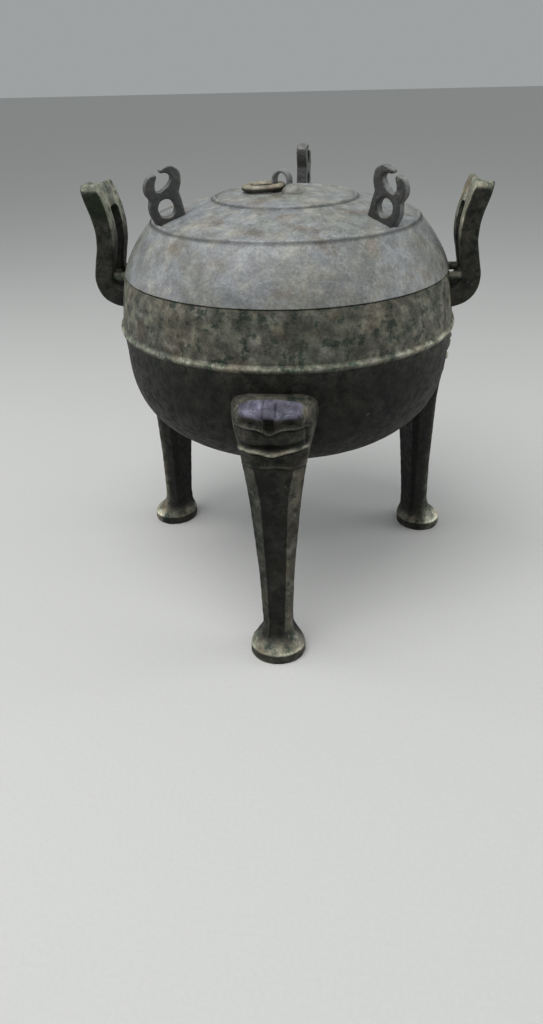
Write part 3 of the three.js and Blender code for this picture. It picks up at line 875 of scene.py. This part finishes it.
bpy.ops.object.select_all(action="DESELECT")
bpy.ops.mesh.primitive_torus_add(
    major_segments=96, minor_segments=24, major_radius=RING_RADIUS, minor_radius=RING_THICKNESS / 2
)
ring_piece = bpy.context.object
x, y, z = points_of(ring_piece).T
from_middle = np.hypot(x, y)
flattened = 1 + (from_middle - RING_RADIUS) * 0.45 / from_middle - 1.35 / from_middle
x, z = turned(x * flattened, z, -ring_tilt)
x, y = turned(x, y * flattened, math.atan2(ring_middle[1], ring_middle[0]))
lay(ring_piece, np.stack([ring_middle[0] + x, ring_middle[1] + y, ring_lift + z], axis=1))
edit(ring_piece)
close(ring_piece, "loose_ring", 60)
swell(ring_piece, 0.35, 5)
report(ring_piece)

# %% [markdown]
# ## Where the bronze is dark and where it is pale
# The patina is not even. Some tops are pale with dust, the bowl is darker below its ridge, and the
# brow of each animal has a lilac bloom. Light and shade are painted into the colour as well: faces
# that look up or sideways to the lamps get painted light, and hollows, undersides, the ground under
# cords and ridges and faces turned to the viewer get painted shade. All this is stored on each mesh
# as two numbers per vertex, "tone" for dark to pale and "tint" for the colour, worked out from the
# height and the facing of each vertex. A tone of 0 leaves the patina as it is, and each step of 1
# down makes it about three times darker. A tint above 0 is lilac and below 0 is green.

# %% Store tone and tint on a mesh
def facing(piece):
    """The normal of each vertex."""
    normals = np.empty(len(piece.data.vertices) * 3)
    piece.data.vertices.foreach_get("normal", normals)
    return normals.reshape(-1, 3)


def drawn(piece):
    """Places of the vertices in drawing units about the bowl's axis."""
    return (points_of(piece) - (AXIS[0], AXIS[1], 0)) / MM


def colour_by(piece, tone, tint):
    """Stores tone and tint, as one number for the whole piece or one for each vertex."""
    count = len(piece.data.vertices)
    for name, values in (("tone", tone), ("tint", tint)):
        layer = piece.data.attributes.new(name, "FLOAT", "POINT")
        layer.data.foreach_set("value", np.broadcast_to(values, (count,)).astype(np.float32))
    print(f"{piece.name}: tone {np.min(tone):.2f} to {np.max(tone):.2f}")


# %% Tones of the bowl and the lid
x, y, z = drawn(bowl).T
below = smoothstep(RIDGE_HEIGHT - 2.5 - z, 0, 3)
# Painted light: the band is painted lighter towards its left and right sides, where the lamps fall
# on it.
painted_side_light = smoothstep(np.abs(x), 95, 150) * (1 - below)
# Painted shade in a narrow band just under the ridge.
tone = -0.48 - 2.0 * below - 0.4 * bump(z - RIDGE_HEIGHT + 4, 2.0) + 0.2 * painted_side_light
# Painted highlight along the top of the ridge.
tone += 0.9 * bump(z - RIDGE_HEIGHT - 1.2, 2.0)
colour_by(bowl, tone, 0.0)

x, y, z = drawn(lid_shell).T
around = np.hypot(x, y)
# Painted light: the crown is painted lighter than the steep side. Painted shadow: a dark line just
# outside each cord, where the cord casts its shadow.
tone = -0.06 + 0.2 * smoothstep(z, 345, 374) - 1.0 * bump(around - OUTER_CORD - 2.3, 0.9)
tone -= 0.9 * bump(around - INNER_CORD - 2.2, 1.0)
colour_by(lid_shell, tone, -0.2)

# %% Tones of the legs
x, y, z = drawn(leg).T
out = -y
side_facing = np.abs(facing(leg)[:, 0])
on_front = smoothstep(out, 158, 172)
cheek, lip, chin = face_lines(x - FACE_MIDDLE)
face_part = smoothstep(z, 192, 198)
shaft = (1 - face_part) * smoothstep(z, 14, 26)
# Painted light and shade on the shaft: the front facet is painted nearly black, partly its dark
# patina and partly painted shade on a face turned to the viewer, and the bevelled facets beside it
# are painted lighter as painted light from the side lamps.
tone = shaft * (-2.3 + 1.6 * smoothstep(side_facing, 0.35, 0.6) * on_front)
# Painted highlight along the top of the hoof's rim, and painted shade on the upright side below it.
hoof = 0.2 + 0.4 * bump(z - 10.6, 1.4) - 1.5 * smoothstep(9.6 - z, 0, 1.2)
tone += (1 - shaft) * (1 - face_part) * hoof
# Painted light and shade on the face: the face is painted dark, partly its dark patina and partly
# painted shade, with painted highlights on the lip, the cheek line and the chin line, painted shade
# in the hollow over the lip, and painted light on the forehead from the brow up.
face_painted_light = -1.8 + 2.2 * bump(z - lip - 0.6, 2.0) + 0.9 * bump(z - cheek, 0.9)
face_painted_light += 0.6 * bump(z - chin - 0.4, 1.0) - 0.7 * bump(z - lip - 5, 3)
face_painted_light += 1.6 * smoothstep(z, 241, 247)
face_side = smoothstep(side_facing, 0.5, 0.9)
tone += face_part * (face_painted_light * (1 - face_side) - 0.8 * face_side) * on_front
# Painted shade on the half of the leg towards the bowl, between the leg and the bowl.
tone += -1.2 * (1 - on_front) - 0.3 * shaft * smoothstep(-x, 4, 9)
lilac = smoothstep(z, 239, 245) * smoothstep(31 - np.abs(x + 1.5), 0, 7) * smoothstep(out, 164, 169)
leg_tint = lilac - 0.3 * (1 - lilac)
colour_by(leg, tone, leg_tint)
for twin in (leg_right, leg_left):
    colour_by(twin, tone + 0.7, leg_tint)

# %% Tones of the ears and the small pieces
for ear in (ear_right, ear_left):
    x, y, z = drawn(ear).T
    normal = facing(ear)
    inward = -normal[:, 0] * np.sign(x)
    in_slot = (np.abs(y) < SLOT_WIDTH / 2 + 1.2) & (z < SLOT_TOP + 1.5) & (z > SLOT_BOTTOM)
    # Painted light and shade on the ears: the ear is painted dark, partly its dark patina and
    # partly painted shade on the faces turned to the viewer, and the upper inner face is painted
    # lighter as painted light.
    tone = -1.75 + 2.2 * smoothstep(inward, 0.4, 0.75) * smoothstep(z, 335, 372)
    # The tops are painted pale, partly for their pale dust and partly as painted light on faces
    # that look up.
    tone += 2.1 * smoothstep(normal[:, 2], 0.2, 0.6) * smoothstep(z, 385, 394)
    # Painted light on the lower inner face in front of the slot.
    painted_light_low_inside = smoothstep(inward, 0.45, 0.8) * (1 - smoothstep(z, 335, 372))
    tone += 0.5 * painted_light_low_inside * (y < -SLOT_WIDTH / 2)
    # Painted shade inside the slot: its walls are painted nearly black.
    tone = np.where(in_slot & (np.abs(normal[:, 1]) > 0.35), -1.9, tone)
    green_share = 0.25 if ear is ear_right else 1
    green = bump(z - 381, 16) * smoothstep(-normal[:, 1], 0.5, 0.8) * green_share
    colour_by(ear, np.clip(tone, -1.9, 0.5), -0.2 - 0.8 * green)
for strut in struts:
    colour_by(strut, -0.5, 0.1)
for knob_piece in knobs:
    normal = facing(knob_piece)
    # Painted light: faces that look up, and faces turned to the right, are painted lighter than the
    # rest of the knob.
    tone = -1.6 + 1.4 * smoothstep(normal[:, 2], 0.2, 0.8)
    tone += 0.7 * smoothstep(normal[:, 0], 0.2, 0.9)
    colour_by(knob_piece, tone, -0.25)
# Painted light: the loop's upward faces are painted lighter.
colour_by(loop, -0.5 + 0.6 * smoothstep(facing(loop)[:, 2], 0.2, 0.9), 0.25)
for foot_pad in pads:
    colour_by(foot_pad, -0.05, 0.05)
# Painted light and shade on the ring: its top is painted lighter and its underside darker.
colour_by(ring_piece, -1.4 + 1.65 * smoothstep(facing(ring_piece)[:, 2], -0.1, 0.55), -0.1)

# %% [markdown]
# ## Patina
# Buried bronze wears a skin of several minerals: a grey-green ground, bluish and lilac blooms,
# beige dust, brown and dark green stains, pale specks and small pits. One node recipe makes them
# from noises of different sizes on Object coordinates, and each finish gives it its own colours.
# Image textures would need seams and a bake for every piece, and noise has none.

# %% A recipe for patina
EARTH, LILAC, VERDIGRIS = (0.125, 0.088, 0.056), (0.145, 0.140, 0.215), (0.040, 0.085, 0.022)
PALE_SPECK, TONE_STEP, PIT_DEPTH = (0.30, 0.31, 0.27), 3.1, 0.0009


def patina(name, ground, bloom, dust, stain, stain_share, mottle, roughness, relief, gloss, speck):
    material = bpy.data.materials.new(name)
    material.use_nodes = True
    nodes, links = material.node_tree.nodes, material.node_tree.links
    shader = nodes["Principled BSDF"]
    place = nodes.new("ShaderNodeTexCoord").outputs["Object"]

    def noise(scale, detail, rough=0.6, shift=0.0):
        moved = nodes.new("ShaderNodeMapping")
        moved.inputs["Location"].default_value = (shift, 2 * shift, -shift)
        links.new(place, moved.inputs["Vector"])
        cloud = nodes.new("ShaderNodeTexNoise")
        cloud.inputs["Scale"].default_value = scale
        cloud.inputs["Detail"].default_value = detail
        cloud.inputs["Roughness"].default_value = rough
        links.new(moved.outputs["Vector"], cloud.inputs["Vector"])
        return cloud.outputs["Fac"]

    def ramp(value, low, high, to_low=0.0, to_high=1.0):
        spread = nodes.new("ShaderNodeMapRange")
        spread.interpolation_type = "SMOOTHSTEP"
        limits = {"From Min": low, "From Max": high, "To Min": to_low, "To Max": to_high}
        for key, amount in limits.items():
            spread.inputs[key].default_value = amount
        links.new(value, spread.inputs["Value"])
        return spread.outputs["Result"]

    def math_node(operation, first, second):
        node = nodes.new("ShaderNodeMath")
        node.operation = operation
        for socket, value in zip(node.inputs, (first, second)):
            if isinstance(value, (int, float)):
                socket.default_value = value
            else:
                links.new(value, socket)
        return node.outputs["Value"]

    def mix(share, first, second, how="MIX"):
        node = nodes.new("ShaderNodeMix")
        node.data_type, node.blend_type = "RGBA", how
        links.new(share, node.inputs["Factor"])
        for socket, value in ((node.inputs[6], first), (node.inputs[7], second)):
            if isinstance(value, tuple):
                socket.default_value = (*value, 1)
            else:
                links.new(value, socket)
        return node.outputs[2]

    def attribute(label):
        node = nodes.new("ShaderNodeAttribute")
        node.attribute_name = label
        return node.outputs["Fac"]

    tone, tint = attribute("tone"), attribute("tint")
    colour = mix(ramp(noise(17, 4, 0.55), 0.40, 0.62), ground, bloom)
    colour = mix(ramp(noise(48, 6, 0.6, 0.4), 0.46, 0.70), colour, dust)
    stained = ramp(noise(95, 7, 0.7, 0.9), 0.60 - stain_share, 0.68 - stain_share)
    colour = mix(stained, colour, stain)
    colour = mix(ramp(noise(40, 3, 0.5, 1.7), 0.55, 0.68, 0, 0.45), colour, EARTH)
    colour = mix(ramp(tint, 0.3, 1.0, 0, 0.75), colour, LILAC)
    colour = mix(ramp(math_node("MULTIPLY", tint, -1), 0.35, 1.0, 0, 0.8), colour, VERDIGRIS)
    grain = noise(420, 5, 0.7, 2.3)
    shaded = math_node("ADD", tone, ramp(grain, 0.3, 0.7, -0.2, 0.2))
    shaded = math_node("ADD", shaded, ramp(noise(85, 5, 0.6, 3.1), 0.3, 0.7, -mottle, mottle))
    strength = math_node("POWER", TONE_STEP, shaded)
    scaled = nodes.new("ShaderNodeVectorMath")
    scaled.operation = "SCALE"
    links.new(colour, scaled.inputs[0])
    links.new(strength, scaled.inputs["Scale"])
    specks = ramp(noise(310, 2, 0.5, 4.7), 0.68, 0.76, 0, speck)
    colour = mix(specks, scaled.outputs["Vector"], PALE_SPECK)
    links.new(colour, shader.inputs["Base Color"])
    links.new(ramp(noise(150, 4, 0.6, 5.1), 0.35, 0.7, roughness - 0.12, roughness + 0.12),
              shader.inputs["Roughness"])
    shader.inputs["Specular IOR Level"].default_value = gloss
    pits = ramp(noise(230, 3, 0.55, 6.2), 0.30, 0.40)
    height = math_node("ADD", grain, math_node("MULTIPLY", pits, 0.8))
    swells = nodes.new("ShaderNodeBump")
    swells.inputs["Strength"].default_value = relief
    swells.inputs["Distance"].default_value = PIT_DEPTH
    links.new(height, swells.inputs["Height"])
    links.new(swells.outputs["Normal"], shader.inputs["Normal"])
    return material


# %% [markdown]
# ### The three finishes
# The vessel is dark with olive stains, the lid is pale grey with a bluish bloom and a faint sheen,
# and the ring is browner than both.

# %% The three finishes
dark_patina = patina(
    "dark_patina", ground=(0.120, 0.125, 0.096), bloom=(0.178, 0.165, 0.124),
    dust=(0.205, 0.198, 0.165), stain=(0.050, 0.066, 0.048), stain_share=0.09, mottle=0.5,
    roughness=0.62, relief=0.5, gloss=0.2, speck=0.12,
)
grey_patina = patina(
    "grey_patina", ground=(0.185, 0.193, 0.178), bloom=(0.194, 0.201, 0.208),
    dust=(0.240, 0.233, 0.203), stain=(0.120, 0.130, 0.120), stain_share=0.0, mottle=0.22,
    roughness=0.44, relief=0.35, gloss=0.45, speck=0.35,
)
ring_patina = patina(
    "ring_patina", ground=(0.150, 0.142, 0.112), bloom=(0.185, 0.172, 0.125),
    dust=(0.22, 0.20, 0.155), stain=(0.07, 0.06, 0.045), stain_share=0.03, mottle=0.3,
    roughness=0.6, relief=0.5, gloss=0.3, speck=0.2,
)

# %% Lay the finishes on the pieces
vessel_pieces = [bowl, leg, leg_right, leg_left, ear_right, ear_left, *struts]
lid_pieces = [lid_shell, *knobs, loop, *pads]
finishes = [
    (vessel_pieces, dark_patina, "vessel", "dark_bronze"),
    (lid_pieces, grey_patina, "lid", "grey_bronze"),
    ([ring_piece], ring_patina, "ring", "ring_bronze"),
]
for pieces, finish, node, slot in finishes:
    for piece in pieces:
        piece.data.materials.clear()
        piece.data.materials.append(finish)
        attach(piece, "root")
        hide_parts(node)
    print(f"{finish.name}: {len(pieces)} pieces stand for {node}")

# %% [markdown]
# ## Floor
# The vessel stands in a plain studio that can be walked round. A wall would hide the vessel from
# behind, so there is only a wide pale floor, painted matt with a very faint grain.

# %% Floor
FLOOR_COLOUR, FLOOR_SIZE = (0.63, 0.63, 0.615), 20


def room_paint(name, colour):
    paint = bpy.data.materials.new(name)
    paint.use_nodes = True
    nodes, links = paint.node_tree.nodes, paint.node_tree.links
    shader = nodes["Principled BSDF"]
    shader.inputs["Roughness"].default_value = 0.9
    place = nodes.new("ShaderNodeTexCoord").outputs["Object"]
    weave = nodes.new("ShaderNodeTexNoise")
    weave.inputs["Scale"].default_value = 300
    links.new(place, weave.inputs["Vector"])
    spread = nodes.new("ShaderNodeMix")
    spread.data_type = "RGBA"
    spread.inputs[6].default_value = (*[part * 0.96 for part in colour], 1)
    spread.inputs[7].default_value = (*[part * 1.04 for part in colour], 1)
    links.new(weave.outputs["Fac"], spread.inputs["Factor"])
    links.new(spread.outputs[2], shader.inputs["Base Color"])
    return paint


bpy.ops.object.select_all(action="DESELECT")
bpy.ops.mesh.primitive_plane_add(size=FLOOR_SIZE)
floor = bpy.context.object
floor.name = "floor"
floor.data.materials.append(room_paint("floor_paint", FLOOR_COLOUR))
print("floor", FLOOR_SIZE, "m wide")

# %% [markdown]
# ## Light
# The light is soft, as in a showcase. It comes from above and from both sides, and little of it
# from the front, so that the faces towards the viewer stay dark. The pale world fills the shadows.

# %% Light
WORLD_COLOUR, WORLD_STRENGTH = (0.86, 0.90, 0.91, 1), 0.40
world = bpy.data.worlds.new("studio")
bpy.context.scene.world = world
world.use_nodes = True
backdrop = world.node_tree.nodes["Background"]
backdrop.inputs["Color"].default_value = WORLD_COLOUR
backdrop.inputs["Strength"].default_value = WORLD_STRENGTH


def soft_light(name, place, size, power, target=(0, 0, 0.25)):
    bpy.ops.object.select_all(action="DESELECT")
    bpy.ops.object.light_add(type="AREA", location=place)
    light = bpy.context.object
    light.name = name
    light.data.size = size
    light.data.energy = power
    aim = Vector(target) - Vector(place)
    light.rotation_euler = aim.to_track_quat("-Z", "Y").to_euler()
    print(f"{name}: {power} W")


soft_light("top_light", (-0.3, -0.6, 1.7), size=1.2, power=20)
soft_light("left_light", (-1.5, 0.0, 0.7), size=1.0, power=6)
soft_light("right_light", (1.5, 0.1, 0.7), size=1.0, power=7)
bpy.context.scene.view_settings.view_transform = "Standard"
